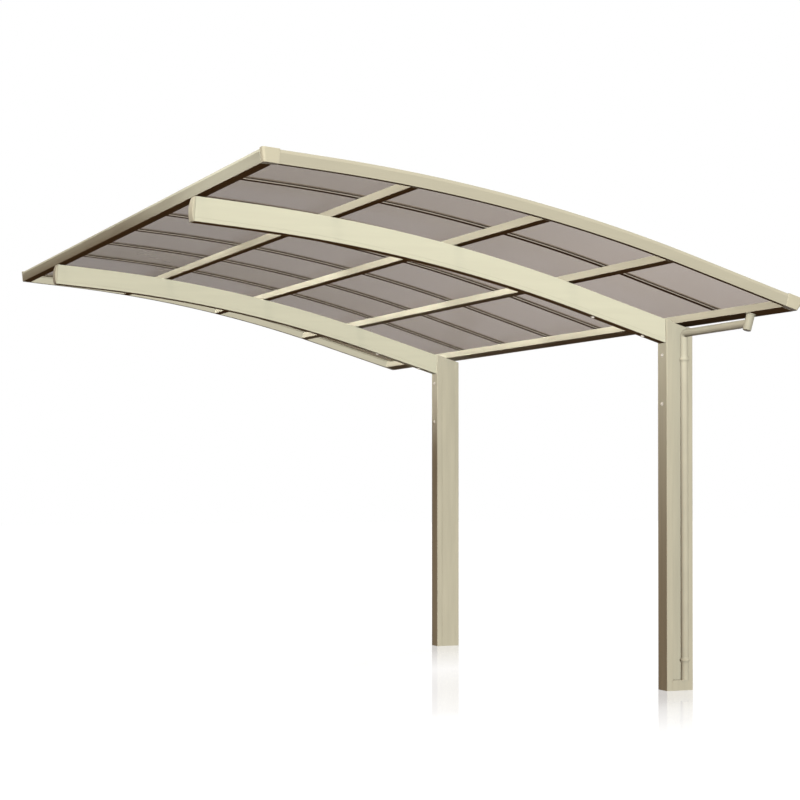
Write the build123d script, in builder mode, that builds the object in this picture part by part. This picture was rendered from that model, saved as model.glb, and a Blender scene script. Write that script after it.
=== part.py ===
from build123d import *
import os
from math import asin, cos, hypot, radians, sin, tan

# Cantilever carport: two posts along one side carry two curved beams, and the beams carry a bowed
# roof of smoke polycarbonate strips in an aluminium frame, drained by a gutter and a downpipe.
# Millimetres. The origin is at the foot of the front post, X runs across the roof towards the post
# side, Y runs from the front to the rear, and Z is up.

# Roof, measured on its underside
roof_length = 5016
roof_span = 2719
eave_height = 1932
eave_reach = 50
high_straight = 285
eave_straight = 591
high_slope = 4.2
eave_slope = 16.5

# Posts
post_spacing = 2947
post_width = 160
post_depth = 92
post_wall = 3
post_round = 4
foot_plate = 10
cap_thickness = 3

# Downpipe channel in the front side of each post
channel_width = 98
channel_depth = 22
channel_shift = 4
sill_height = 56

# Beams
beam_width = 65
beam_height = 121
beam_wall = 3
beam_cap_flange = 6
beam_cap_bulge = 10

# Edge frames and corner pieces
frame_height = 63
frame_width = 50
frame_wall = 3
side_frame_width = 38
side_seat = 5
side_bevel_rise = 15
side_bevel_run = 6
high_lean = 12
high_round = 8
corner_length = 70
corner_rise = 3
corner_proud = 1.5
corner_round = 12

# Gutter
gutter_width = 66
gutter_lean = 27
gutter_wall = 2.5
gutter_hole = 32

# Purlins
purlin_width = 40
purlin_height = 40
purlin_wall = 2
purlin_shares = (0.262, 0.504, 0.743)

# Glazing bars and panels
bar_count = 7
bar_width = 38
bar_web = 12
bar_foot = 6
bar_cover = 6
panel_thickness = 3
panel_bite = 10
panel_play = 2
panel_overhang = 32
clearance = 0.3

# Drain
pipe_diameter = 42
pipe_wall = 2.5
pipe_x = 25
elbow_radius = 24
cross_pipe_drop = 46
outlet_setback = 344
outlet_inset = 38.5
outlet_diameter = 43
outlet_length = 86
outlet_floor = 3
collar_diameter = 53
collar_height = 32
collar_land = 12
upper_collar_drop = 115
lower_collar_rise = 106

# Roof line: a straight stretch at each edge, joined by one arc
high_angle = radians(high_slope)
eave_angle = radians(eave_slope)
bend_radius = (roof_span - high_straight - eave_straight) / (sin(eave_angle) - sin(high_angle))
eave_edge = (eave_reach, eave_height)
bend_end = (eave_reach - eave_straight, eave_height + eave_straight * tan(eave_angle))
bend_centre = (bend_end[0] - bend_radius * sin(eave_angle), bend_end[1] - bend_radius * cos(eave_angle))
bend_start = (bend_centre[0] + bend_radius * sin(high_angle), bend_centre[1] + bend_radius * cos(high_angle))
high_edge = (bend_start[0] - high_straight, bend_start[1] + high_straight * tan(high_angle))
span_middle = (high_edge[0] + eave_edge[0]) / 2

# Places along the roof's length
roof_middle = post_spacing / 2
roof_front = roof_middle - roof_length / 2
bay_front = roof_front + side_frame_width
bay_length = roof_length - 2 * side_frame_width
bar_pitch = bay_length / (bar_count + 1)
post_places = {"front": 0, "rear": post_spacing}

# Levels square to the roof's underside
bar_low = purlin_height + clearance
slot_low = bar_low + bar_foot
slot_high = slot_low + panel_thickness + 2 * clearance
bar_top = slot_high + bar_cover
corner_height = frame_height + corner_rise

# Ends of the slots, bars, panels and purlins
slot_depth = panel_bite + panel_play
bar_end = gutter_width - panel_overhang
side_body = side_frame_width - slot_depth
purlin_front = roof_front + side_body
purlin_length = roof_length - 2 * side_body

# Drain places
channel_floor = -post_depth / 2 + channel_depth
pipe_y = channel_floor - collar_diameter / 2 - clearance
outlet_y = roof_front + outlet_setback
outlet_top = (eave_reach - outlet_inset * cos(eave_angle), eave_height + outlet_inset * sin(eave_angle))
cross_z = outlet_top[1] - cross_pipe_drop
cross_x = outlet_top[0] - cross_pipe_drop * tan(eave_angle)
cross_length = hypot(pipe_x - cross_x, pipe_y - outlet_y)
elbow_foot = cross_z - elbow_radius
collar_places = {"upper": elbow_foot - upper_collar_drop, "lower": sill_height + lower_collar_rise}


def slope_plane(place, angle, y):
    """Plane across the roof: its x runs down the slope and its y is square to the roof."""
    return Plane(origin=(place[0], y, place[1]), x_dir=(cos(angle), 0, -sin(angle)), z_dir=(0, -1, 0))


def roof_level(level):
    """Plane along the eave stretch of the roof, this far above the roof's underside."""
    square = (sin(eave_angle), 0, cos(eave_angle))
    place = (eave_edge[0] + level * square[0], 0, eave_edge[1] + level * square[2])
    return Plane(origin=place, z_dir=square)


def roof_place(share):
    """Point on the roof's underside at a share of its span, with the slope there."""
    x = high_edge[0] + share * roof_span
    if x < bend_start[0]:
        return (x, high_edge[1] - (x - high_edge[0]) * tan(high_angle)), high_angle
    if x > bend_end[0]:
        return (x, eave_edge[1] + (eave_edge[0] - x) * tan(eave_angle)), eave_angle
    angle = asin((x - bend_centre[0]) / bend_radius)
    return (x, bend_centre[1] + bend_radius * cos(angle)), angle


def on_slope(place, angle, along, up):
    """Point at a distance down the slope from a place, and up square to the roof."""
    return (
        place[0] + along * cos(angle) + up * sin(angle),
        place[1] - along * sin(angle) + up * cos(angle),
    )


def roof_band(y, low, high, high_inset, eave_inset):
    """Face between two levels of the roof line, cut square at a distance from each edge."""
    with BuildSketch(Plane.XZ.offset(-y)) as band:
        with BuildLine():
            turn = eave_slope - high_slope
            low_arc = CenterArc(bend_centre, bend_radius + low, 90 - eave_slope, turn)
            high_arc = CenterArc(bend_centre, bend_radius + high, 90 - eave_slope, turn)
            eave_low = Line(low_arc @ 0, on_slope(eave_edge, eave_angle, -eave_inset, low))
            eave_high = Line(high_arc @ 0, on_slope(eave_edge, eave_angle, -eave_inset, high))
            edge_low = Line(low_arc @ 1, on_slope(high_edge, high_angle, high_inset, low))
            edge_high = Line(high_arc @ 1, on_slope(high_edge, high_angle, high_inset, high))
            Line(eave_low @ 1, eave_high @ 1)
            Line(edge_low @ 1, edge_high @ 1)
        make_face()
    return band.sketch


def save(piece, name):
    """Label a finished piece and write it."""
    piece.part.label = name
    export_step(piece.part, f"parts/{name}.step")


def post_outline(y, z, inset):
    """Outline of a post, with the downpipe channel in its front side."""
    with BuildSketch(Plane.XY.offset(z).shift_origin((0, y, z))) as outline:
        Rectangle(post_width, post_depth)
        fillet(outline.vertices(), post_round)
        with Locations((channel_shift, channel_floor - channel_depth / 2)):
            Rectangle(channel_width, channel_depth, mode=Mode.SUBTRACT)
        if inset:
            offset(amount=-inset, mode=Mode.REPLACE)
    return outline.sketch


# A file for each sub-part
os.makedirs("parts", exist_ok=True)

# Posts: box sections closed by a foot plate, cut off along the roof's slope
for side, y in post_places.items():
    blank_height = eave_height + roof_span
    with BuildPart() as post:
        extrude(post_outline(y, 0, 0), amount=blank_height)
        extrude(post_outline(y, foot_plate, post_wall), amount=blank_height, mode=Mode.SUBTRACT)
        split(bisect_by=roof_level(-cap_thickness), keep=Keep.BOTTOM)
    save(post, f"{side}_post")

# Post caps: sloping plates that close the posts under the roof
for side, y in post_places.items():
    with BuildPart() as post_cap:
        with BuildSketch(Plane.XY.shift_origin((0, y, 0))) as cap_outline:
            Rectangle(post_width, post_depth)
            fillet(cap_outline.vertices(), post_round)
        extrude(amount=eave_height + roof_span)
        split(bisect_by=roof_level(0), keep=Keep.BOTTOM)
        split(bisect_by=roof_level(-cap_thickness), keep=Keep.TOP)
    save(post_cap, f"{side}_post_cap")

# Post sills: blocks that fill the foot of the downpipe channel
for side, y in post_places.items():
    with BuildPart() as sill:
        with BuildSketch(Plane.XY.shift_origin((0, y, 0))):
            with Locations((channel_shift, channel_floor - channel_depth / 2)):
                Rectangle(channel_width, channel_depth)
        extrude(amount=sill_height)
    save(sill, f"{side}_post_sill")

# Beams: curved box sections that butt on the inner side of each post
post_face = Plane(origin=(-post_width / 2, 0, 0), z_dir=(1, 0, 0))
for side, y in post_places.items():
    start = y - beam_width / 2
    with BuildPart() as beam:
        extrude(roof_band(start, -beam_height, 0, beam_cap_flange, 0), amount=-beam_width)
        hollow = roof_band(start + beam_wall, beam_wall - beam_height, -beam_wall, beam_cap_flange, 0)
        extrude(hollow, amount=2 * beam_wall - beam_width, mode=Mode.SUBTRACT)
        split(bisect_by=post_face, keep=Keep.BOTTOM)
    save(beam, f"{side}_beam")

# Beam end caps: bowed covers on the free ends of the beams
for side, y in post_places.items():
    with BuildPart() as beam_cap:
        with BuildSketch(slope_plane(high_edge, high_angle, y - beam_width / 2)):
            with BuildLine():
                Polyline((0, -beam_height), (beam_cap_flange, -beam_height), (beam_cap_flange, 0), (0, 0))
                ThreePointArc((0, 0), (-beam_cap_bulge, -beam_height / 2), (0, -beam_height))
            make_face()
        extrude(amount=-beam_width)
    save(beam_cap, f"{side}_beam_cap")

# Purlins: straight box sections from one side frame to the other
for number, share in enumerate(purlin_shares, start=1):
    place, angle = roof_place(share)
    with BuildPart() as purlin:
        with BuildSketch(slope_plane(place, angle, purlin_front)):
            Rectangle(purlin_width, purlin_height, align=(Align.CENTER, Align.MIN))
            offset(amount=-purlin_wall, kind=Kind.INTERSECTION, mode=Mode.SUBTRACT)
        extrude(amount=-purlin_length)
    save(purlin, f"purlin_{number}")

# High edge frame: a hollow section with a leaning face and a slot for the panels
with BuildPart() as high_frame:
    with BuildSketch(slope_plane(high_edge, high_angle, bay_front)) as high_section:
        with BuildLine():
            Polyline(
                (0, 0),
                (frame_width, 0),
                (frame_width, slot_low),
                (frame_width - slot_depth, slot_low),
                (frame_width - slot_depth, slot_high),
                (frame_width, slot_high),
                (frame_width, frame_height),
                (-high_lean, frame_height),
                close=True,
            )
        make_face()
        fillet(high_section.vertices().sort_by(Axis.X)[0], high_round)
        chamber_width = frame_width - slot_depth - 2 * frame_wall
        chamber_height = frame_height - 2 * frame_wall
        with Locations((frame_wall, frame_wall)):
            Rectangle(chamber_width, chamber_height, align=(Align.MIN, Align.MIN), mode=Mode.SUBTRACT)
    extrude(amount=-bay_length)
save(high_frame, "high_edge_frame")

# Gutter: an open channel along the eave, its outer wall leaning out, with the hole of the outlet
outlet_plane = roof_level(0).shift_origin((outlet_top[0], outlet_y, outlet_top[1]))
with BuildPart() as gutter:
    with BuildSketch(slope_plane(eave_edge, eave_angle, bay_front)):
        with BuildLine():
            Polyline((-gutter_width, purlin_height), (-gutter_width, 0), (0, 0), (gutter_lean, frame_height))
            offset(amount=gutter_wall, side=Side.LEFT)
        make_face()
    extrude(amount=-bay_length)
    with BuildSketch(outlet_plane):
        Circle(gutter_hole / 2)
    extrude(amount=gutter_wall, mode=Mode.SUBTRACT)
save(gutter, "gutter")

# Side frames: curved hollow sections along the front and rear, with a seat and a slot for the outer panels
with BuildPart() as front_frame:
    ends = (corner_length, corner_length)
    extrude(roof_band(roof_front, 0, frame_height, *ends), amount=-side_body)
    top_faces = front_frame.faces().filter_by(lambda face: face.normal_at().Z > sin(eave_angle))
    top_edges = [face.edges().group_by(Axis.Y)[0][0] for face in top_faces]
    outer_face = front_frame.faces().sort_by(Axis.Y)[0]
    chamfer(top_edges, length=side_bevel_rise, length2=side_bevel_run, reference=outer_face)
    extrude(roof_band(purlin_front, slot_low - side_seat, slot_low, *ends), amount=-slot_depth)
    extrude(roof_band(purlin_front, slot_high, frame_height, *ends), amount=-slot_depth)
    chamber = roof_band(roof_front + frame_wall, frame_wall, frame_height - side_bevel_rise, *ends)
    extrude(chamber, amount=2 * frame_wall - side_body, mode=Mode.SUBTRACT)
save(front_frame, "front_side_frame")

rear_side = Plane.XZ.offset(-roof_middle)
with BuildPart() as rear_frame:
    mirror(front_frame.part, about=rear_side)
save(rear_frame, "rear_side_frame")


def corner_piece(place, angle, inner, lean, slot_from, slot_to):
    """Corner cap at one end of the front side frame, slotted for the panel's corner."""
    depth = side_frame_width + corner_proud
    with BuildPart() as corner:
        with BuildSketch(slope_plane(place, angle, roof_front - corner_proud)):
            with BuildLine():
                Polyline((inner, 0), (0, 0), (lean, corner_height), (inner, corner_height), close=True)
            make_face()
        extrude(amount=-depth)
        front_edges = corner.edges().filter_by(Axis.Y, reverse=True).group_by(Axis.Y)[0]
        fillet(max(front_edges, key=lambda edge: abs(edge.center().X - span_middle)), corner_round)
        with BuildSketch(slope_plane(place, angle, bay_front - slot_depth)):
            with Locations(((slot_from + slot_to) / 2, (slot_low + slot_high) / 2)):
                Rectangle(abs(slot_to - slot_from), slot_high - slot_low)
        extrude(amount=-slot_depth, mode=Mode.SUBTRACT)
    return corner


# Corner caps: the front pair, and the rear pair mirrored from it
corners = {
    "high_corner": corner_piece(
        high_edge, high_angle, corner_length, -high_lean, frame_width - slot_depth, corner_length
    ),
    "eave_corner": corner_piece(
        eave_edge, eave_angle, -corner_length, gutter_lean, -corner_length, panel_play - bar_end
    ),
}
for name, corner in corners.items():
    save(corner, f"front_{name}")
    with BuildPart() as rear_corner:
        mirror(corner.part, about=rear_side)
    save(rear_corner, f"rear_{name}")

# Glazing bars: curved sections over the purlins, slotted on both sides for the panels
bar_places = [bay_front + number * bar_pitch for number in range(1, bar_count + 1)]
for number, y in enumerate(bar_places, start=1):
    with BuildPart() as bar:
        extrude(roof_band(y - bar_width / 2, bar_low, slot_low, frame_width, bar_end), amount=-bar_width)
        extrude(roof_band(y - bar_web / 2, slot_low, slot_high, frame_width, bar_end), amount=-bar_web)
        extrude(roof_band(y - bar_width / 2, slot_high, bar_top, frame_width, bar_end), amount=-bar_width)
    save(bar, f"glazing_bar_{number}")

# Roof panels: bent sheets between the bars
panel_low = slot_low + clearance
panel_starts = [bay_front - panel_bite] + [y + bar_web / 2 + panel_play for y in bar_places]
panel_ends = [y - bar_web / 2 - panel_play for y in bar_places] + [bay_front + bay_length + panel_bite]
for number, (start, end) in enumerate(zip(panel_starts, panel_ends), start=1):
    sheet = roof_band(start, panel_low, panel_low + panel_thickness, frame_width - panel_bite, bar_end)
    with BuildPart() as panel:
        extrude(sheet, amount=start - end)
    save(panel, f"roof_panel_{number}")

# Gutter outlet: a cup below the gutter, square to its underside
cross_plane = Plane(
    origin=(cross_x, outlet_y, cross_z),
    x_dir=(pipe_x - cross_x, pipe_y - outlet_y, 0),
    z_dir=(pipe_y - outlet_y, cross_x - pipe_x, 0),
)
mouth_plane = Plane(origin=cross_plane.origin, z_dir=cross_plane.x_dir)
with BuildPart() as outlet:
    with BuildSketch(outlet_plane):
        Circle(outlet_diameter / 2)
    extrude(amount=-outlet_length)
    fillet(outlet.faces().sort_by(Axis.Z)[0].edges(), outlet_floor)
    with BuildSketch(outlet_plane):
        Circle(outlet_diameter / 2 - pipe_wall)
    extrude(amount=outlet_floor - outlet_length, mode=Mode.SUBTRACT)
    with BuildSketch(mouth_plane):
        Circle(pipe_diameter / 2 + clearance)
    extrude(amount=outlet_diameter, mode=Mode.SUBTRACT)
save(outlet, "gutter_outlet")

# Cross pipe: from the outlet to the front of the post
with BuildPart() as cross_pipe:
    with BuildSketch(mouth_plane.offset(clearance)):
        Circle(pipe_diameter / 2)
        Circle(pipe_diameter / 2 - pipe_wall, mode=Mode.SUBTRACT)
    extrude(amount=cross_length - elbow_radius - clearance)
save(cross_pipe, "cross_pipe")

# Elbow: turns the cross pipe down into the channel of the post
with BuildPart() as elbow:
    with BuildLine(cross_plane):
        RadiusArc((cross_length - elbow_radius, 0), (cross_length, -elbow_radius), elbow_radius)
    with BuildSketch(mouth_plane.offset(cross_length - elbow_radius)):
        Circle(pipe_diameter / 2)
        Circle(pipe_diameter / 2 - pipe_wall, mode=Mode.SUBTRACT)
    sweep()
save(elbow, "drain_elbow")

# Downpipe: stands on the sill
with BuildPart() as downpipe:
    with BuildSketch(Plane.XY.offset(sill_height).shift_origin((pipe_x, pipe_y, sill_height))):
        Circle(pipe_diameter / 2)
        Circle(pipe_diameter / 2 - pipe_wall, mode=Mode.SUBTRACT)
    extrude(amount=elbow_foot - sill_height)
save(downpipe, "downpipe")

# Pipe collars: rounded rings that hold the downpipe off the floor of the channel
for name, z in collar_places.items():
    bore = pipe_diameter / 2 + clearance
    with BuildPart() as collar:
        with BuildSketch(Plane(origin=(pipe_x, pipe_y, z), x_dir=(1, 0, 0), z_dir=(0, -1, 0))):
            with BuildLine():
                Polyline(
                    (bore, -collar_height / 2),
                    (collar_diameter / 2, -collar_land / 2),
                    (collar_diameter / 2, collar_land / 2),
                    (bore, collar_height / 2),
                    close=True,
                )
            make_face()
        revolve(axis=Axis((pipe_x, pipe_y, z), (0, 0, 1)))
    save(collar, f"{name}_pipe_collar")
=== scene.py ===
from math import atan2, cos, pi, radians, sin, tan

import bmesh
import bpy
from mathutils import Matrix, Vector


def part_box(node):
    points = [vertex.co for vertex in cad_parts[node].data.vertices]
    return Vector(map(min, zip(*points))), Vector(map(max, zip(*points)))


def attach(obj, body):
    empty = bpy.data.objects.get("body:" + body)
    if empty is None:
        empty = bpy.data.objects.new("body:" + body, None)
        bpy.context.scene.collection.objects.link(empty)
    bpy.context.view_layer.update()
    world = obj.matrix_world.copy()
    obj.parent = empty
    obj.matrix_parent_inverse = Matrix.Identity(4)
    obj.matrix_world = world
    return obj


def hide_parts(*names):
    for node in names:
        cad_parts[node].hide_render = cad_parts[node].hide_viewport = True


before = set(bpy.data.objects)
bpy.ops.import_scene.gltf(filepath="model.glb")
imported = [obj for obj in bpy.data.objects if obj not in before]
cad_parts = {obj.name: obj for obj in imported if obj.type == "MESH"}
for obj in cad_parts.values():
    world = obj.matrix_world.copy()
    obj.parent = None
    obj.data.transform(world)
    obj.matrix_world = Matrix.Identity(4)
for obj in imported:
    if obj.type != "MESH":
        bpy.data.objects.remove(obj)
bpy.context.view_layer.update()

# Looks of a cantilever carport, in metres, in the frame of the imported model. Roof pieces are drawn flat,
# in roof coordinates: X runs down the slope from the high edge, Y along the roof and Z square to it.
# The roof bend then lays them on the bowed roof line.

# Roof line on the underside of the roof: a straight run at each edge, joined by one bend
high_slope = radians(4.2)
eave_slope = radians(16.5)
roof_span = 2.719
high_straight = 0.285
eave_straight = 0.591
eave_x, eave_z = 0.050, 1.932
bend_radius = (roof_span - high_straight - eave_straight) / (sin(eave_slope) - sin(high_slope))
centre_x = eave_x - eave_straight - bend_radius * sin(eave_slope)
centre_z = eave_z + eave_straight * tan(eave_slope) - bend_radius * cos(eave_slope)
high_run = high_straight / cos(high_slope)
bend_run = bend_radius * (eave_slope - high_slope)
roof_run = high_run + bend_run + eave_straight / cos(eave_slope)

# Sections of the frame
beam_height = 0.121
beam_round = 0.003
groove_height = 0.018
groove_width = 0.0024
groove_depth = 0.0009
cap_flange = 0.006
cap_bulge = 0.010
cap_round = 0.004
frame_height = 0.063
frame_width = 0.050
side_width = 0.038
side_seat = 0.005
bevel_rise = 0.015
bevel_run = 0.006
lip_height = 0.004
lip_proud = 0.001
high_lean = 0.012
edge_round = 0.0015
corner_length = 0.070
corner_height = 0.066
corner_proud = 0.0015
corner_round = 0.012
corner_edge = 0.002
eave_lean = 0.027
purlin_width = 0.040
purlin_height = 0.040
purlin_round = 0.002

# Glazing
slot_low = 0.0463
slot_high = 0.0499
slot_depth = 0.012
bar_low = 0.0403
bar_top = 0.0559
bar_half = 0.019
web_half = 0.006
bar_eave_inset = 0.034
sheet_low = 0.0466
sheet_thickness = 0.003
sheet_bite = 0.010
sheet_round = 0.0008
seal_height = 0.002
seal_width = 0.005
seal_proud = 0.0004
seal_round = 0.001

# Drain
elbow_radius = 0.024
pipe_wall = 0.0025
outlet_inset = 0.0385
outlet_radius = 0.0215
outlet_length = 0.086
outlet_floor = 0.003
flange_radius = 0.0255
flange_height = 0.004
flange_slant = 0.001
cup_round = 0.004
cup_round_sag = 0.0012
cross_drop = 0.046

# Posts
channel_left = -0.045
channel_right = 0.053
channel_depth = 0.022
post_round = 0.004
post_cap = 0.003
strip_gap = 0.0004
strip_thickness = 0.002

# Fasteners
post_bolt_heights = (1.779, 1.521)
beam_bolt_distances = (0.12, 0.42)
bolt_sizes = {
    "head_radius": 0.0075,
    "head_height": 0.005,
    "washer_radius": 0.011,
    "washer_height": 0.0015,
}
screw_count = 6
screw_margin = 0.16
screw_sizes = {
    "head_radius": 0.004,
    "head_height": 0.0022,
    "washer_radius": 0.0065,
    "washer_height": 0.0008,
}

# An edge that turns by more than this is a crisp corner
crisp_angle = radians(32)

sides = ("front", "rear")
bar_nodes = [name for name in sorted(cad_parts) if name.startswith("glazing_bar")]
sheet_nodes = [name for name in sorted(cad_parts) if name.startswith("roof_panel")]
purlin_nodes = [name for name in sorted(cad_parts) if name.startswith("purlin")]


def reach(node, axis):
    """Lowest and highest place of a CAD node along an axis."""
    low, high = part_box(node)
    return low[axis], high[axis]


def middle(node, axis):
    """Middle of a CAD node along an axis."""
    return sum(reach(node, axis)) / 2


def length(node, axis):
    """Length of a CAD node along an axis."""
    low, high = reach(node, axis)
    return high - low


# Nodes


def add_node(tree, kind, inputs=None, **settings):
    """Add a node, set its options, and set or link its inputs by name or number."""
    made = tree.nodes.new(kind)
    for option, value in settings.items():
        setattr(made, option, value)
    for key, value in (inputs or {}).items():
        if isinstance(value, bpy.types.Node):
            value = value.outputs[0]
        if isinstance(value, bpy.types.NodeSocket):
            tree.links.new(value, made.inputs[key])
        else:
            made.inputs[key].default_value = value
    return made


def calc(tree, operation, *terms):
    """Add a Math node on these terms."""
    return add_node(tree, "ShaderNodeMath", dict(enumerate(terms)), operation=operation)


def new_tree(name, sizes):
    """Start a Geometry Nodes tree with named inputs, and return it with its input and output sockets."""
    tree = bpy.data.node_groups.new(name, "GeometryNodeTree")
    tree.interface.new_socket("Geometry", in_out="INPUT", socket_type="NodeSocketGeometry")
    for label, kind in sizes.items():
        tree.interface.new_socket(label, in_out="INPUT", socket_type="NodeSocket" + kind)
    tree.interface.new_socket("Geometry", in_out="OUTPUT", socket_type="NodeSocketGeometry")
    return tree, tree.nodes.new("NodeGroupInput").outputs, tree.nodes.new("NodeGroupOutput").inputs


def dress(tree, geometry, material):
    """Smooth the faces, keep the corners crisp, and set the material."""
    smooth = add_node(tree, "GeometryNodeSetShadeSmooth", {"Geometry": geometry})
    turn = add_node(tree, "GeometryNodeInputMeshEdgeAngle")
    corner = add_node(tree, "FunctionNodeCompare", {0: turn, 1: crisp_angle}, operation="GREATER_THAN")
    crisp = add_node(
        tree,
        "GeometryNodeSetShadeSmooth",
        {"Geometry": smooth, "Selection": corner, "Shade Smooth": False},
        domain="EDGE",
    )
    return add_node(tree, "GeometryNodeSetMaterial", {"Geometry": crisp, "Material": material})


def lay_on_roof(tree, geometry):
    """Move flat roof coordinates onto the bowed roof line."""
    place = add_node(tree, "ShaderNodeSeparateXYZ", {0: add_node(tree, "GeometryNodeInputPosition")})
    down, along, up = place.outputs
    bent = add_node(tree, "ShaderNodeClamp", {"Value": down, "Min": high_run, "Max": high_run + bend_run})
    past = calc(tree, "SUBTRACT", down, bent)
    turned = calc(tree, "DIVIDE", calc(tree, "SUBTRACT", bent, high_run), bend_radius)
    angle = calc(tree, "ADD", turned, high_slope)
    out = calc(tree, "ADD", up, bend_radius)
    sine, cosine = calc(tree, "SINE", angle), calc(tree, "COSINE", angle)
    across = calc(tree, "MULTIPLY_ADD", past, cosine, calc(tree, "MULTIPLY_ADD", out, sine, centre_x))
    drop = calc(tree, "MULTIPLY", past, sine)
    height = calc(tree, "SUBTRACT", calc(tree, "MULTIPLY_ADD", out, cosine, centre_z), drop)
    laid = add_node(tree, "ShaderNodeCombineXYZ", {0: across, 1: along, 2: height})
    return add_node(tree, "GeometryNodeSetPosition", {"Geometry": geometry, "Position": laid})


def section_run_tree():
    """Sweep a section along a straight line, repeat it along the roof, and lay it on the roof."""
    sizes = {"From": "Vector", "To": "Vector", "Steps": "Int", "Copies": "Int", "Pitch": "Float"}
    tree, given, made = new_tree("section run", {**sizes, "Material": "Material"})
    section = add_node(tree, "GeometryNodeMeshToCurve", {"Mesh": given["Geometry"]})
    upright = add_node(tree, "GeometryNodeTransform", {"Geometry": section, "Rotation": (0, 0, pi)})
    line = add_node(tree, "GeometryNodeCurvePrimitiveLine", {"Start": given["From"], "End": given["To"]})
    path = add_node(tree, "GeometryNodeResampleCurve", {"Curve": line, "Count": given["Steps"]})
    swept = add_node(
        tree, "GeometryNodeCurveToMesh", {"Curve": path, "Profile Curve": upright, "Fill Caps": True}
    )
    offset = add_node(tree, "ShaderNodeCombineXYZ", {1: given["Pitch"]})
    places = add_node(tree, "GeometryNodeMeshLine", {"Count": given["Copies"], "Offset": offset})
    copies = add_node(tree, "GeometryNodeInstanceOnPoints", {"Points": places, "Instance": swept})
    real = add_node(tree, "GeometryNodeRealizeInstances", {"Geometry": copies})
    dressed = dress(tree, lay_on_roof(tree, real), given["Material"])
    tree.links.new(dressed.outputs[0], made["Geometry"])
    return tree


def roof_lay_tree():
    """Lay a flat piece on the roof."""
    tree, given, made = new_tree("roof lay", {"Material": "Material"})
    dressed = dress(tree, lay_on_roof(tree, given["Geometry"]), given["Material"])
    tree.links.new(dressed.outputs[0], made["Geometry"])
    return tree


def pipe_run_tree():
    """Sweep a pipe along a route with rounded corners."""
    sizes = {"Pipe Radius": "Float", "Bend Radius": "Float", "Bend Steps": "Int", "Sides": "Int"}
    tree, given, made = new_tree("pipe run", {**sizes, "Material": "Material"})
    route = add_node(tree, "GeometryNodeMeshToCurve", {"Mesh": given["Geometry"]})
    bent = add_node(
        tree,
        "GeometryNodeFilletCurve",
        {"Curve": route, "Count": given["Bend Steps"], "Radius": given["Bend Radius"]},
        mode="POLY",
    )
    ring = add_node(
        tree,
        "GeometryNodeCurvePrimitiveCircle",
        {"Resolution": given["Sides"], "Radius": given["Pipe Radius"]},
    )
    swept = add_node(tree, "GeometryNodeCurveToMesh", {"Curve": bent, "Profile Curve": ring})
    real = add_node(tree, "GeometryNodeRealizeInstances", {"Geometry": swept})
    tree.links.new(dress(tree, real, given["Material"]).outputs[0], made["Geometry"])
    return tree


def fastener_tree():
    """Put a hexagon head on a washer at each point, facing along its outward attribute."""
    sizes = dict.fromkeys(("Head Radius", "Head Height", "Washer Radius", "Washer Height"), "Float")
    tree, given, made = new_tree("fasteners", {**sizes, "Material": "Material"})
    washer = add_node(
        tree,
        "GeometryNodeMeshCylinder",
        {"Vertices": 20, "Radius": given["Washer Radius"], "Depth": given["Washer Height"]},
    )
    head = add_node(
        tree,
        "GeometryNodeMeshCylinder",
        {"Vertices": 6, "Radius": given["Head Radius"], "Depth": given["Head Height"]},
    )
    crown_base = calc(tree, "MULTIPLY", given["Head Radius"], 0.86)
    crown_top = calc(tree, "MULTIPLY", given["Head Radius"], 0.62)
    crown_height = calc(tree, "MULTIPLY", given["Head Height"], 0.25)
    crown = add_node(
        tree,
        "GeometryNodeMeshCone",
        {"Vertices": 12, "Radius Top": crown_top, "Radius Bottom": crown_base, "Depth": crown_height},
    )
    half_washer = calc(tree, "MULTIPLY", given["Washer Height"], 0.5)
    head_middle = calc(tree, "MULTIPLY_ADD", given["Head Height"], 0.5, given["Washer Height"])
    head_top = calc(tree, "ADD", given["Head Height"], given["Washer Height"])
    joined = add_node(tree, "GeometryNodeJoinGeometry")
    for part, height in ((washer, half_washer), (head, head_middle), (crown, head_top)):
        lift = add_node(tree, "ShaderNodeCombineXYZ", {2: height})
        moved = add_node(tree, "GeometryNodeTransform", {"Geometry": part, "Translation": lift})
        tree.links.new(moved.outputs[0], joined.inputs[0])
    outward = add_node(
        tree, "GeometryNodeInputNamedAttribute", {"Name": "outward"}, data_type="FLOAT_VECTOR"
    )
    facing = add_node(tree, "FunctionNodeAlignRotationToVector", {"Vector": outward}, axis="Z")
    placed = add_node(
        tree,
        "GeometryNodeInstanceOnPoints",
        {"Points": given["Geometry"], "Instance": joined, "Rotation": facing},
    )
    real = add_node(tree, "GeometryNodeRealizeInstances", {"Geometry": placed})
    tree.links.new(dress(tree, real, given["Material"]).outputs[0], made["Geometry"])
    return tree


section_run = section_run_tree()
roof_lay = roof_lay_tree()
pipe_run = pipe_run_tree()
fasteners = fastener_tree()


# Meshes


def rounded(corners, steps=4):
    """Closed outline through corners given as (across, up, radius), each corner rounded."""
    outline = []
    for number, (across, up, radius) in enumerate(corners):
        corner = Vector((across, up))
        if not radius:
            outline.append(corner)
            continue
        before = (Vector(corners[number - 1][:2]) - corner).normalized()
        after = (Vector(corners[(number + 1) % len(corners)][:2]) - corner).normalized()
        half = before.angle(after) / 2
        centre = corner + (before + after).normalized() * radius / sin(half)
        first = corner + before * radius / tan(half) - centre
        sweep = first.angle_signed(corner + after * radius / tan(half) - centre)
        for step in range(steps + 1):
            turn = Matrix.Rotation(-sweep * step / steps, 2)
            outline.append(centre + turn @ first)
    return outline


def face_outwards(mesh):
    """Turn the faces of a closed mesh outwards."""
    work = bmesh.new()
    work.from_mesh(mesh)
    bmesh.ops.recalc_face_normals(work, faces=work.faces)
    work.to_mesh(mesh)
    work.free()


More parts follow.
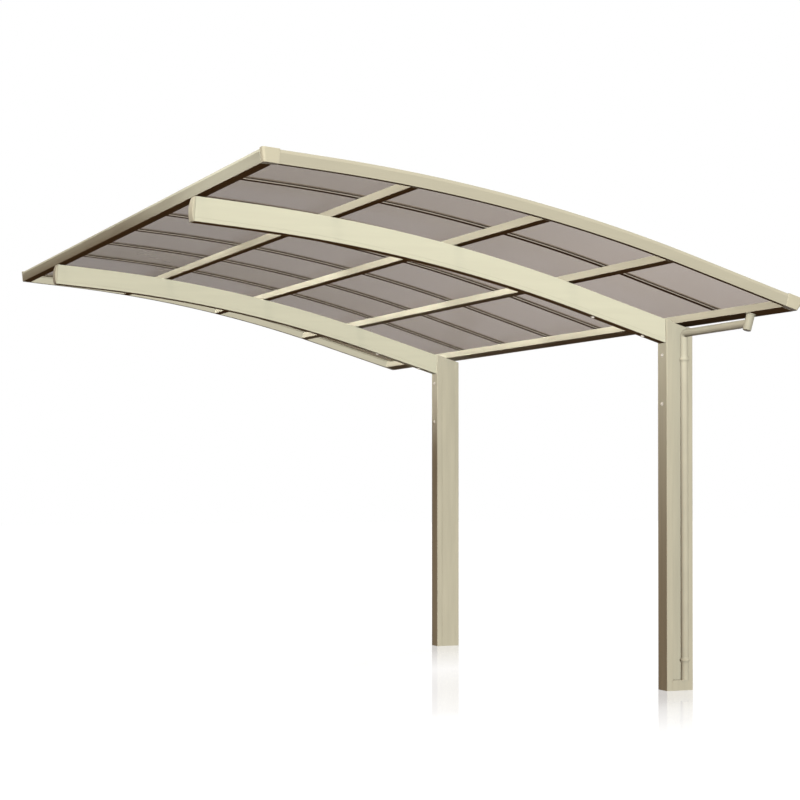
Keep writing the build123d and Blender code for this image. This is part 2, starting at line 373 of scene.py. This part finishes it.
def smooth_over(mesh):
    """Shade a mesh smooth, but keep its corners crisp."""
    mesh.shade_smooth()
    mesh.set_sharp_from_angle(angle=crisp_angle)


def loop_mesh(name, outline):
    """Closed loop of edges in the XY plane."""
    mesh = bpy.data.meshes.new(name)
    count = len(outline)
    edges = [(number, (number + 1) % count) for number in range(count)]
    mesh.from_pydata([(*point, 0) for point in outline], edges, [])
    return mesh


def shell_mesh(name, rings):
    """Closed shell through rings of points, with a face across the first and the last ring."""
    mesh = bpy.data.meshes.new(name)
    count = len(rings[0])
    faces = [tuple(range(count)), tuple(range((len(rings) - 1) * count, len(rings) * count))]
    for ring in range(len(rings) - 1):
        for number in range(count):
            near, far = ring * count + number, ring * count + (number + 1) % count
            faces.append((near, far, far + count, near + count))
    mesh.from_pydata([point for ring in rings for point in ring], [], faces)
    face_outwards(mesh)
    return mesh


def lathe_mesh(name, profile, place, axis, sides=40):
    """Closed turned shape from a profile of (radius, height) that starts and ends on the axis."""
    mesh = bpy.data.meshes.new(name)
    work = bmesh.new()
    points = [work.verts.new((radius, 0, height)) for radius, height in profile]
    edges = [work.edges.new(pair) for pair in zip(points, points[1:])]
    bmesh.ops.spin(
        work,
        geom=points + edges,
        axis=(0, 0, 1),
        cent=(0, 0, 0),
        steps=sides,
        angle=2 * pi,
        use_merge=True,
    )
    bmesh.ops.remove_doubles(work, verts=work.verts, dist=1e-6)
    turn = Vector((0, 0, 1)).rotation_difference(Vector(axis)).to_matrix().to_4x4()
    bmesh.ops.transform(work, matrix=Matrix.Translation(place) @ turn, verts=work.verts)
    work.to_mesh(mesh)
    work.free()
    return mesh


def points_mesh(name, places, outward):
    """Loose points, each with the direction that its fastener faces."""
    mesh = bpy.data.meshes.new(name)
    mesh.from_pydata(places, [], [])
    facing = mesh.attributes.new("outward", "FLOAT_VECTOR", "POINT")
    for number in range(len(places)):
        facing.data[number].vector = outward
    return mesh


def apply_modifiers(piece):
    """Put the mesh that the modifiers make in place of the piece's own."""
    graph = bpy.context.evaluated_depsgraph_get()
    made = bpy.data.meshes.new_from_object(
        piece.evaluated_get(graph), preserve_all_data_layers=True, depsgraph=graph
    )
    piece.modifiers.clear()
    piece.data = made


def flatten(piece):
    """Shade the wide faces of a piece flat, between its rounded corners."""
    piece.modifiers.new("flat faces", "WEIGHTED_NORMAL").keep_sharp = True
    apply_modifiers(piece)


def settle(piece):
    """Turn a piece into a plain mesh, with its faces outwards and its wide faces shaded flat."""
    bpy.context.scene.collection.objects.link(piece)
    apply_modifiers(piece)
    face_outwards(piece.data)
    flatten(piece)


def add_tree(piece, tree, **sizes):
    """Put a tree on a piece, with its inputs set by their identifiers."""
    modifier = piece.modifiers.new(tree.name, "NODES")
    modifier.node_group = tree
    for socket in tree.interface.items_tree:
        label = socket.name.lower().replace(" ", "_")
        if socket.in_out == "INPUT" and label in sizes:
            modifier[socket.identifier] = sizes[label]


def hand_over(piece, slot, *nodes):
    """Let a finished piece ride with the frame, in place of CAD nodes; the slot is not used."""
    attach(piece, "root")
    if nodes:
        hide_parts(*nodes)


def run_down_roof(name, outline, start, end, material, copies=1, pitch=0.0):
    """Piece with a section in (along, up), swept down the slope of the roof."""
    piece = bpy.data.objects.new(name, loop_mesh(name, outline))
    steps = 72
    line = {"from": (start, 0, 0), "to": (end, 0, 0)}
    add_tree(piece, section_run, **line, steps=steps, copies=copies, pitch=pitch, material=material)
    settle(piece)
    return piece


def run_along_roof(name, outline, node, material):
    """Piece with a section in (down, up), swept along the roof as far as a CAD node goes."""
    piece = bpy.data.objects.new(name, loop_mesh(name, outline))
    front, rear = reach(node, 1)
    line = {"from": (0, rear, 0), "to": (0, front, 0)}
    add_tree(piece, section_run, **line, steps=2, copies=1, pitch=0.0, material=material)
    settle(piece)
    return piece


def plain_piece(name, mesh, material):
    """Finished piece from a mesh that is already in place."""
    piece = bpy.data.objects.new(name, mesh)
    mesh.materials.append(material)
    smooth_over(mesh)
    settle(piece)
    return piece


# Materials


def new_material(name):
    """Material with its node tree and its Principled shader."""
    material = bpy.data.materials.new(name)
    material.use_nodes = True
    tree = material.node_tree
    return material, tree, tree.nodes["Principled BSDF"]


def shade(colour, factor):
    """Colour made lighter or darker."""
    return tuple(part * factor for part in colour[:3]) + (1.0,)


def streaks(tree, grain, scale, detail):
    """Noise drawn out along the grain, on Object coordinates."""
    place = add_node(tree, "ShaderNodeTexCoord").outputs["Object"]
    stretched = add_node(tree, "ShaderNodeMapping", {"Vector": place, "Scale": grain})
    return add_node(tree, "ShaderNodeTexNoise", {"Vector": stretched, "Scale": scale, "Detail": detail})


def mottle(tree, noise, dark, light):
    """Colour between two shades, by the noise."""
    ramp = add_node(tree, "ShaderNodeValToRGB", {"Fac": noise.outputs[0]})
    ramp.color_ramp.elements[0].position = 0.32
    ramp.color_ramp.elements[0].color = dark
    ramp.color_ramp.elements[1].position = 0.68
    ramp.color_ramp.elements[1].color = light
    return ramp


def coated_metal(name, colour, grain, spread=0.05, rough=0.42):
    """Satin coat on an extrusion: faint die lines and a soft change of tone along its grain."""
    material, tree, shader = new_material(name)
    broad = streaks(tree, grain, 2.2, 3.0)
    fine = streaks(tree, grain, 60.0, 2.0)
    tone = mottle(tree, broad, shade(colour, 1 - spread), shade(colour, 1 + spread))
    gloss = add_node(
        tree,
        "ShaderNodeMapRange",
        {"Value": fine.outputs[0], "To Min": rough - 0.06, "To Max": rough + 0.08},
    )
    lines = add_node(
        tree, "ShaderNodeBump", {"Strength": 0.06, "Distance": 0.0006, "Height": fine.outputs[0]}
    )
    tree.links.new(tone.outputs[0], shader.inputs["Base Color"])
    tree.links.new(gloss.outputs[0], shader.inputs["Roughness"])
    tree.links.new(lines.outputs[0], shader.inputs["Normal"])
    shader.inputs["Specular IOR Level"].default_value = 0.0
    return material


def moulded_plastic(name, colour, rough):
    """Smooth moulded plastic with a fine grain and a soft change of tone."""
    material, tree, shader = new_material(name)
    broad = streaks(tree, (1, 1, 1), 7.0, 2.0)
    fine = streaks(tree, (1, 1, 1), 420.0, 1.0)
    tone = mottle(tree, broad, shade(colour, 0.96), shade(colour, 1.04))
    grain = add_node(
        tree, "ShaderNodeBump", {"Strength": 0.05, "Distance": 0.0003, "Height": fine.outputs[0]}
    )
    tree.links.new(tone.outputs[0], shader.inputs["Base Color"])
    tree.links.new(grain.outputs[0], shader.inputs["Normal"])
    shader.inputs["Roughness"].default_value = rough
    shader.inputs["Specular IOR Level"].default_value = 0.05
    return material


def smoke_sheet(name, colour, tint):
    """Smoke-tinted clear sheet that closes up at a shallow angle, with faint flow marks down the slope."""
    material, tree, shader = new_material(name)
    flow = streaks(tree, (0.5, 3.0, 1.0), 2.6, 2.0)
    tone = mottle(tree, flow, shade(colour, 0.94), shade(colour, 1.06))
    tree.links.new(tone.outputs[0], shader.inputs["Base Color"])
    shader.inputs["Roughness"].default_value = 0.3
    shader.inputs["Specular IOR Level"].default_value = 0.02
    clear = add_node(tree, "ShaderNodeBsdfTransparent", {"Color": (*tint, 1)})
    slant = add_node(tree, "ShaderNodeLayerWeight", {"Blend": 0.5}).outputs["Facing"]
    cover = add_node(
        tree,
        "ShaderNodeMapRange",
        {"Value": slant, "From Min": 0.74, "From Max": 0.89, "To Min": 0.29, "To Max": 0.59},
    )
    mixed = add_node(tree, "ShaderNodeMixShader", {0: cover, 1: clear, 2: shader})
    tree.links.new(mixed.outputs[0], tree.nodes["Material Output"].inputs["Surface"])
    return material


along_x, along_y, along_z = (1, 14, 14), (14, 1, 14), (14, 14, 1)
champagne = (0.55, 0.525, 0.398)
# Lighter copy of the champagne coat for the beams: painted light, as they are the same aluminium as the
# rest of the frame
lit_beam_metal = coated_metal("champagne_beam", (0.697, 0.687, 0.520), along_x, spread=0.02)
# Darker copy of the champagne coat on the front fascia, painted shade, and a lighter copy on the rear
# fascia, painted light on its shaded inner face
fascia_shaded_and_lit_metals = {
    "front": coated_metal("champagne_fascia_front", shade(champagne, 0.92), along_x, spread=0.02),
    "rear": coated_metal("champagne_fascia_rear", shade(champagne, 1.12), along_x, spread=0.02),
}
# Darker, browner copy of the champagne coat for the glazing bars: painted shade and painted reflection of
# the smoke sheets
shaded_bar_metal = coated_metal("champagne_bar", (0.46, 0.41, 0.335), along_x, spread=0.02)
length_metal = coated_metal("champagne_length", champagne, along_y)
# Lighter, cooler copy of the champagne coat for the high rail: painted light
lit_rail_metal = coated_metal("champagne_rail", (0.58, 0.582, 0.46), along_y)
post_metal = coated_metal("champagne_post", champagne, along_z)
drain_beige = (0.56, 0.54, 0.415)
pipe_plastic = moulded_plastic("drain_beige", drain_beige, rough=0.36)
# Darker copy of the pipe's beige for the outlet cup: painted shade, as the cup is the same plastic as the
# pipe
shaded_cup_plastic = moulded_plastic("cup_beige", shade(drain_beige, 0.85), rough=0.36)
cap_plastic = moulded_plastic("cap_beige", (0.575, 0.545, 0.405), rough=0.45)
seal_rubber = moulded_plastic("seal_black", (0.020, 0.015, 0.012), rough=0.7)
bolt_steel = coated_metal("bolt_zinc", (0.85, 0.80, 0.70), (1, 1, 1), spread=0.04, rough=0.35)
smoke = smoke_sheet("smoke_sheet", colour=(0.168, 0.146, 0.134), tint=(0.897, 0.840, 0.797))


# Beams: bowed box sections with a fine groove above the lower edge of each side
def beam_section(y):
    """Section of a beam in (along, up)."""
    half = length("front_beam", 1) / 2
    groove = groove_height - beam_height
    right = [
        (y + half, groove - groove_width / 2, 0),
        (y + half - groove_depth, groove, 0),
        (y + half, groove + groove_width / 2, 0),
    ]
    left = [(2 * y - across, up, 0) for across, up, _ in reversed(right)]
    foot = [(y - half, -beam_height, beam_round), (y + half, -beam_height, beam_round)]
    top = [(y + half, 0, beam_round), (y - half, 0, beam_round)]
    return rounded(foot + right + top + left)


def cut_upright(piece, x):
    """Cut a piece off at an upright plane and close the cut."""
    work = bmesh.new()
    work.from_mesh(piece.data)
    everything = work.verts[:] + work.edges[:] + work.faces[:]
    cut = bmesh.ops.bisect_plane(
        work, geom=everything, plane_co=(x, 0, 0), plane_no=(1, 0, 0), clear_outer=True
    )
    rim = [part for part in cut["geom_cut"] if isinstance(part, bmesh.types.BMEdge)]
    bmesh.ops.contextual_create(work, geom=rim)
    for edge in rim:
        edge.smooth = False
    bmesh.ops.recalc_face_normals(work, faces=work.faces)
    work.to_mesh(piece.data)
    work.free()
    flatten(piece)


for side in sides:
    beam_y = middle(f"{side}_beam", 1)
    beam = run_down_roof(f"bowed_beam_{side}", beam_section(beam_y), cap_flange, roof_run, lit_beam_metal)
    cut_upright(beam, reach(f"{side}_beam", 0)[1])
    hand_over(beam, "champagne_aluminium", f"{side}_beam")


# Moulded covers: bowed ones on the free ends of the beams, and one at each corner of the roof
def moulded_cover(name, rings, edge, node):
    """Cover through rings of roof points, with rounded edges, in place of a CAD node."""
    piece = bpy.data.objects.new(name, shell_mesh(name, rings))
    bevel = piece.modifiers.new("edges", "BEVEL")
    bevel.width, bevel.segments = edge, 3
    bevel.limit_method, bevel.angle_limit = "ANGLE", crisp_angle
    add_tree(piece, roof_lay, material=cap_plastic)
    settle(piece)
    hand_over(piece, "cap_plastic", node)


def beam_end_rings(side):
    """Bowed outline of a beam's end cover, at each side of the beam."""
    chord = beam_height / 2
    radius = (chord**2 + cap_bulge**2) / (2 * cap_bulge)
    steps = 16
    bow = []
    for step in range(steps + 1):
        up = -beam_height * step / steps
        bow.append((radius - cap_bulge - (radius**2 - (up + chord) ** 2) ** 0.5, up))
    outline = bow + [(cap_flange, -beam_height), (cap_flange, 0)]
    return [[(down, y, up) for down, up in outline] for y in reach(f"{side}_beam_cap", 1)]


for side in sides:
    moulded_cover(f"beam_end_cover_{side}", beam_end_rings(side), cap_round, f"{side}_beam_cap")

# Purlins: straight box sections under the glazing bars
for number, node in enumerate(purlin_nodes, start=1):
    angle = atan2(middle(node, 0) - centre_x, middle(node, 2) - centre_z)
    down = high_run + bend_radius * (angle - high_slope)
    left, right = down - purlin_width / 2, down + purlin_width / 2
    box = [(left, 0), (right, 0), (right, purlin_height), (left, purlin_height)]
    section = rounded([(*corner, purlin_round) for corner in box])
    tube = run_along_roof(f"purlin_tube_{number}", section, node, length_metal)
    hand_over(tube, "champagne_aluminium", node)

# High edge rail: its outer face leans out to a bevel along the top
high_section = rounded(
    [
        (0, 0, 0),
        (frame_width, 0, edge_round),
        (frame_width, slot_low, edge_round),
        (frame_width - slot_depth, slot_low, 0),
        (frame_width - slot_depth, slot_high, 0),
        (frame_width, slot_high, edge_round),
        (frame_width, frame_height, edge_round),
        (bevel_run - high_lean, frame_height, edge_round),
        (-high_lean, frame_height - bevel_rise, edge_round),
    ]
)
rail = run_along_roof("high_rail", high_section, "high_edge_frame", lit_rail_metal)
hand_over(rail, "champagne_aluminium", "high_edge_frame")


# Fascias: bowed side sections with a bevel along the top, a lip along the foot and a seat for the sheet
def fascia_section(outer, inward):
    """Section of a fascia in (along, up), from its outer face inwards."""
    body = side_width - slot_depth
    corners = [
        (0, 0, edge_round),
        (body, 0, edge_round),
        (body, slot_low - side_seat, 0),
        (side_width, slot_low - side_seat, edge_round),
        (side_width, slot_low, edge_round),
        (body, slot_low, 0),
        (body, slot_high, 0),
        (side_width, slot_high, edge_round),
        (side_width, frame_height, edge_round),
        (bevel_run, frame_height, edge_round),
        (0, frame_height - bevel_rise, edge_round),
        (0, lip_height + lip_proud, 0),
        (-lip_proud, lip_height, 0),
        (-lip_proud, lip_proud, 0),
    ]
    return rounded([(outer + inward * along, up, radius) for along, up, radius in corners])


# Place of each fascia's outer face along the roof, and the way inwards from it
fascia_faces = {
    "front": (reach("front_side_frame", 1)[0], 1),
    "rear": (reach("rear_side_frame", 1)[1], -1),
}
for side, (outer, inward) in fascia_faces.items():
    section = fascia_section(outer, inward)
    fascia = run_down_roof(
        f"fascia_{side}", section, corner_length, roof_run - corner_length, fascia_shaded_and_lit_metals[side]
    )
    hand_over(fascia, "champagne_aluminium", f"{side}_side_frame")


# Corner covers: short end pieces with one rounded upright edge, leaning with the edge of the roof
def corner_rings(outer, inward, edge, inner, lean):
    """Foot and top of a corner cover, from an edge of the roof to where the fascia starts."""
    depth = side_width + corner_proud
    plan = rounded([(edge, 0, corner_round), (edge, depth, 0), (inner, depth, 0), (inner, 0, 0)], steps=8)
    rings = []
    for up in (0, corner_height):
        lift = lean * up / corner_height / (edge - inner)
        rings.append(
            [
                (down + lift * (down - inner), outer + inward * (along - corner_proud), up)
                for down, along in plan
            ]
        )
    return rings


# Outer end, inner end and lean of the covers at each edge of the roof
corner_ends = {
    "high": (0.0, corner_length, -high_lean),
    "eave": (roof_run, roof_run - corner_length, eave_lean),
}
for side, (outer, inward) in fascia_faces.items():
    for end, (edge, inner, lean) in corner_ends.items():
        rings = corner_rings(outer, inward, edge, inner, lean)
        moulded_cover(f"{end}_corner_cover_{side}", rings, corner_edge, f"{side}_{end}_corner")


# Glazing bars: a foot and a cover joined by a web, with room for a seal on each side
def bar_section(y):
    """Section of a glazing bar in (along, up)."""
    seat = bar_half - seal_width + seal_proud
    right = [
        (bar_half, bar_low, edge_round),
        (bar_half, slot_low - seal_height, 0),
        (seat, slot_low - seal_height, 0),
        (seat, slot_low, 0),
        (web_half, slot_low, 0),
        (web_half, slot_high, 0),
        (bar_half, slot_high, 0),
        (bar_half, bar_top, edge_round),
    ]
    left = [(-across, up, radius) for across, up, radius in reversed(right)]
    return rounded([(y + across, up, radius) for across, up, radius in right + left], steps=3)


bar_places = [middle(node, 1) for node in bar_nodes]
bar_pitch = bar_places[1] - bar_places[0]
bar_end = roof_run - bar_eave_inset
bars = run_down_roof(
    "glazing_bars", bar_section(bar_places[0]), frame_width, bar_end, shaded_bar_metal, len(bar_places), bar_pitch
)
hand_over(bars, "champagne_aluminium", *bar_nodes)

# Seals between the bars and the sheets
for name, hand in (("near", -1), ("far", 1)):
    inner = bar_places[0] + hand * (bar_half - seal_width + seal_proud)
    outer = bar_places[0] + hand * (bar_half + seal_proud)
    corners = [
        (inner, slot_low - seal_height, 0),
        (outer, slot_low - seal_height, seal_round),
        (outer, sheet_low, seal_round),
        (inner, sheet_low, 0),
    ]
    section = rounded(corners, steps=3)
    seals = run_down_roof(
        f"sheet_seals_{name}", section, frame_width, bar_end, seal_rubber, len(bar_places), bar_pitch
    )
    hand_over(seals, "seal_rubber")

# Roof sheets: thin bowed sheets held between the bars
for number, node in enumerate(sheet_nodes, start=1):
    front, rear = reach(node, 1)
    top = sheet_low + sheet_thickness
    corners = [(front, sheet_low), (rear, sheet_low), (rear, top), (front, top)]
    section = rounded([(*corner, sheet_round) for corner in corners], steps=2)
    sheet = run_down_roof(f"smoke_sheet_{number}", section, frame_width - sheet_bite, bar_end, smoke)
    hand_over(sheet, "smoke_polycarbonate", node)


# Posts: box sections with the downpipe channel in the front, cut off along the slope of the roof
def post_outline(side):
    """Outline of a post in plan."""
    left, right = reach(f"{side}_post", 0)
    front, rear = reach(f"{side}_post", 1)
    floor = front + channel_depth
    return rounded(
        [
            (left, front, post_round),
            (channel_left, front, edge_round),
            (channel_left, floor, edge_round),
            (channel_right, floor, edge_round),
            (channel_right, front, edge_round),
            (right, front, post_round),
            (right, rear, post_round),
            (left, rear, post_round),
        ]
    )


def under_roof(outline, drop):
    """Ring of points this far below the roof's underside, along its slope."""
    level = eave_z - drop / cos(eave_slope)
    return [(x, y, level + (eave_x - x) * tan(eave_slope)) for x, y in outline]


def post_piece(name, rings, *nodes):
    """Finished piece of a post through rings of points."""
    piece = plain_piece(name, shell_mesh(name, rings), post_metal)
    hand_over(piece, "champagne_aluminium", *nodes)


for side in sides:
    outline = post_outline(side)
    foot = [(x, y, 0) for x, y in outline]
    post_piece(f"post_shell_{side}", [foot, under_roof(outline, post_cap)], f"{side}_post")
    plate = [under_roof(outline, post_cap), under_roof(outline, 0)]
    post_piece(f"post_cap_plate_{side}", plate, f"{side}_post_cap")


# Strip that closes the channel of the rear post, which has no downpipe
def strip_rings():
    """Foot of the strip, on the sill, and its top, along the slope of the roof."""
    left, right = channel_left + strip_gap, channel_right - strip_gap
    front = reach("rear_post", 1)[0]
    rear = front + strip_thickness
    outline = [(left, front), (right, front), (right, rear), (left, rear)]
    sill_top = reach("rear_post_sill", 2)[1]
    return [[(x, y, sill_top) for x, y in outline], under_roof(outline, 0)]


post_piece("channel_strip", strip_rings())

# Drain: a cup below the gutter, one pipe run to the foot of the front post, and two beads on it
slope_square = Vector((sin(eave_slope), 0, cos(eave_slope)))
outlet_y = middle("gutter_outlet", 1)
outlet_top = Vector(
    (eave_x - outlet_inset * cos(eave_slope), outlet_y, eave_z + outlet_inset * sin(eave_slope))
)
inner_radius = outlet_radius - pipe_wall
cup_profile = [
    (0, outlet_floor - outlet_length),
    (inner_radius, outlet_floor - outlet_length),
    (inner_radius, 0),
    (flange_radius, 0),
    (flange_radius, -flange_height),
    (outlet_radius, -flange_height - flange_slant),
    (outlet_radius, cup_round - outlet_length),
    (outlet_radius - cup_round_sag, cup_round_sag - outlet_length),
    (outlet_radius - cup_round, -outlet_length),
    (0, -outlet_length),
]
cup_mesh = lathe_mesh("outlet cup", cup_profile, outlet_top, slope_square)
hand_over(plain_piece("outlet_cup", cup_mesh, shaded_cup_plastic), "drain_plastic", "gutter_outlet")

pipe_x, pipe_y = middle("downpipe", 0), middle("downpipe", 1)
pipe_radius = length("downpipe", 0) / 2
cross_z = outlet_top.z - cross_drop
route = [
    (outlet_top.x - cross_drop * tan(eave_slope), outlet_y, cross_z),
    (pipe_x, pipe_y, cross_z),
    (pipe_x, pipe_y, reach("downpipe", 2)[0]),
]
route_mesh = bpy.data.meshes.new("drain route")
route_mesh.from_pydata(route, [(0, 1), (1, 2)], [])
pipe = bpy.data.objects.new("drain_pipe", route_mesh)
add_tree(
    pipe,
    pipe_run,
    pipe_radius=pipe_radius,
    bend_radius=elbow_radius,
    bend_steps=12,
    sides=40,
    material=pipe_plastic,
)
wall = pipe.modifiers.new("wall", "SOLIDIFY")
wall.thickness, wall.offset = pipe_wall, -1
settle(pipe)
hand_over(pipe, "drain_plastic", "cross_pipe", "drain_elbow", "downpipe")


def bead_profile(node):
    """Profile of a bead that swells out from the pipe and back."""
    swell, half = length(node, 0) / 2 - pipe_radius, length(node, 2) / 2
    steps = 14
    profile = [(0, -half)]
    for step in range(steps + 1):
        share = step / steps
        profile.append((pipe_radius + swell * sin(pi * share) ** 2, half * (2 * share - 1)))
    return profile + [(0, half)]


for name in ("upper", "lower"):
    node = f"{name}_pipe_collar"
    bead_mesh = lathe_mesh("pipe bead", bead_profile(node), (pipe_x, pipe_y, middle(node, 2)), (0, 0, 1))
    hand_over(plain_piece(f"pipe_bead_{name}", bead_mesh, pipe_plastic), "drain_plastic", node)


# Fasteners: hexagon heads on washers
def place_fasteners(name, places, outward, sizes, on_roof=True):
    """Fasteners that face one way, at roof coordinates or else at places in the frame."""
    piece = bpy.data.objects.new(name, points_mesh(name, places, outward))
    add_tree(piece, fasteners, **sizes, material=bolt_steel)
    if on_roof:
        add_tree(piece, roof_lay, material=bolt_steel)
    settle(piece)
    hand_over(piece, "bolt_steel")


# Bolts on the inner sides of the posts
post_bolts = [
    (reach(f"{side}_post", 0)[0], middle(f"{side}_post", 1), height)
    for side in sides
    for height in post_bolt_heights
]
place_fasteners("post_bolts", post_bolts, (-1, 0, 0), bolt_sizes, on_roof=False)

# Bolts up into the undersides of the beams, near the posts
post_face = roof_run - (eave_x - reach("front_beam", 0)[1]) / cos(eave_slope)
beam_bolts = []
for side in sides:
    for distance in beam_bolt_distances:
        down = post_face - distance / cos(eave_slope) + beam_height * tan(eave_slope)
        beam_bolts.append((down, middle(f"{side}_beam", 1), -beam_height))
place_fasteners("beam_bolts", beam_bolts, (0, 0, -1), bolt_sizes)

# Screws along the covers of the glazing bars
first_screw, last_screw = frame_width + screw_margin, bar_end - screw_margin
screw_pitch = (last_screw - first_screw) / (screw_count - 1)
cover_screws = [
    (first_screw + screw_pitch * number, y, bar_top) for y in bar_places for number in range(screw_count)
]
place_fasteners("cover_screws", cover_screws, (0, 0, 1), screw_sizes)

# Finishes of the CAD nodes that stay
kept_finishes = {"gutter": length_metal}
for side in sides:
    kept_finishes[f"{side}_post_sill"] = post_metal
for node, material in kept_finishes.items():
    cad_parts[node].data.materials.clear()
    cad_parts[node].data.materials.append(material)


# Floor and light

floor_half = 40


def seen_rays(tree):
    """1 for camera, glossy and transmission rays, and 0 for the rays that only light the object."""
    path = add_node(tree, "ShaderNodeLightPath").outputs
    mirrored = calc(tree, "MAXIMUM", path["Is Glossy Ray"], path["Is Transmission Ray"])
    return calc(tree, "MAXIMUM", path["Is Camera Ray"], mirrored)


def floor_material():
    """Pale floor: white to the eye, with a soft shadow and a faint mirror image at the posts' feet."""
    material = bpy.data.materials.new("pale_floor")
    material.use_nodes = True
    tree = material.node_tree
    tree.nodes.clear()
    glow = add_node(tree, "ShaderNodeEmission", {"Color": (1, 1, 1, 1), "Strength": 0.93})
    shadow = add_node(tree, "ShaderNodeBsdfDiffuse", {"Color": (0.2, 0.2, 0.2, 1)})
    pale = add_node(tree, "ShaderNodeAddShader", {0: glow, 1: shadow})
    mirror = add_node(tree, "ShaderNodeBsdfGlossy", {"Color": (1, 1, 1, 1), "Roughness": 0.03})
    place = add_node(tree, "ShaderNodeTexCoord").outputs["Object"]
    near = 2 * floor_half
    for side in sides:
        foot = (middle(f"{side}_post", 0), middle(f"{side}_post", 1), 0)
        away = add_node(tree, "ShaderNodeVectorMath", {0: place, 1: foot}, operation="DISTANCE")
        near = calc(tree, "MINIMUM", near, away.outputs["Value"])
    polish = add_node(
        tree,
        "ShaderNodeMapRange",
        {"Value": near, "From Min": 0.3, "From Max": 2.0, "To Min": 0.45, "To Max": 0.0},
    )
    polished = add_node(tree, "ShaderNodeMixShader", {0: polish, 1: pale, 2: mirror})
    bounce = add_node(tree, "ShaderNodeEmission", {"Color": (0.052, 0.025, 0.012, 1)})
    mixed = add_node(tree, "ShaderNodeMixShader", {0: seen_rays(tree), 1: bounce, 2: polished})
    add_node(tree, "ShaderNodeOutputMaterial", {"Surface": mixed})
    return material


floor_mesh = bpy.data.meshes.new("floor")
floor_corners = [(x * floor_half, y * floor_half, 0) for x, y in ((-1, -1), (1, -1), (1, 1), (-1, 1))]
floor_mesh.from_pydata(floor_corners, [], [(0, 1, 2, 3)])
floor_mesh.materials.append(floor_material())
floor = bpy.data.objects.new("floor", floor_mesh)
bpy.context.scene.collection.objects.link(floor)


def studio_world():
    """Backdrop that is white to the eye, and a faint warm haze of light on the object."""
    world = bpy.data.worlds.new("studio")
    world.use_nodes = True
    tree = world.node_tree
    tree.nodes.clear()
    backdrop = add_node(tree, "ShaderNodeBackground", {"Color": (1, 1, 1, 1)})
    haze = add_node(tree, "ShaderNodeBackground", {"Color": (1.0, 0.76, 0.55, 1), "Strength": 0.23})
    shown = add_node(tree, "ShaderNodeMixShader", {0: seen_rays(tree), 1: haze, 2: backdrop})
    add_node(tree, "ShaderNodeOutputWorld", {"Surface": shown})
    return world


bpy.context.scene.world = studio_world()


def add_lamp(name, lamp, place, toward):
    """Put a lamp in the scene; the sheets mirror the backdrop, not the lamp."""
    holder = bpy.data.objects.new(name, lamp)
    holder.location = place
    holder.rotation_euler = toward.to_track_quat("-Z", "Y").to_euler()
    holder.visible_glossy = False
    bpy.context.scene.collection.objects.link(holder)


def soft_box(name, place, target, size, power, spread):
    """Wide lamp aimed at a point, without shadows."""
    lamp = bpy.data.lights.new(name, "AREA")
    lamp.shape, lamp.size, lamp.size_y = "RECTANGLE", *size
    lamp.energy, lamp.spread, lamp.use_shadow = power, spread, False
    add_lamp(name, lamp, place, Vector(target) - Vector(place))


def far_lamp(name, azimuth, elevation, strength, shadow=False, colour=(1, 1, 1)):
    """Distant soft lamp; azimuth 0 shines along +Y, and more comes from the left."""
    lamp = bpy.data.lights.new(name, "SUN")
    lamp.energy, lamp.angle, lamp.use_shadow, lamp.color = strength, radians(8), shadow, colour
    toward = Vector((sin(azimuth) * cos(elevation), cos(azimuth) * cos(elevation), -sin(elevation)))
    add_lamp(name, lamp, (0, 0, 0), toward)


ember = (1.0, 0.45, 0.15)
far_lamp("front_fill", azimuth=radians(8), elevation=radians(8.5), strength=2.64)
far_lamp("top_light", azimuth=radians(30), elevation=radians(75), strength=1.3, shadow=True)
far_lamp("back_fill", azimuth=radians(-135), elevation=radians(12), strength=2.2, shadow=True)
far_lamp("ground_glow", azimuth=radians(90), elevation=radians(15), strength=0.15, colour=ember)
lamp_x = -9.0
for y in (3.5, 4.5):
    soft_box(
        "left_light", (lamp_x, y, 4.2), (0.0, y, 2.05), size=(6.0, 0.2), power=2.9, spread=radians(2.8)
    )
soft_box(
    "left_fill", (lamp_x, -1.9, 5.1), (-1.5, -0.3, 3.64), size=(1.6, 1.6), power=35, spread=radians(27.7)
)
soft_box(
    "rear_fill", (lamp_x, 2.95, 2.3), (0.0, 2.95, 1.75), size=(0.5, 0.3), power=0.45, spread=radians(5)
)

# Camera at the photograph's viewing angle
image_width = 800
focal_pixels = 1835.036
axis_row = 467.64
camera_place = (-5.19941, -8.41733, 1.09074)
camera_yaw = 0.40443
camera_pitch = 0.00939
lens = bpy.data.cameras.new("camera")
lens.sensor_width = 36
lens.lens = lens.sensor_width * focal_pixels / image_width
lens.shift_y = (axis_row - image_width / 2) / image_width
lens.clip_end = 200
camera = bpy.data.objects.new("camera", lens)
camera.location = camera_place
camera.rotation_euler = (pi / 2 + camera_pitch, 0, -camera_yaw)
bpy.context.scene.collection.objects.link(camera)
bpy.context.scene.camera = camera
bpy.context.scene.view_settings.view_transform = "Standard"

# No light bounces from piece to piece, so the undersides stay dark
bpy.context.scene.cycles.diffuse_bounces = 0
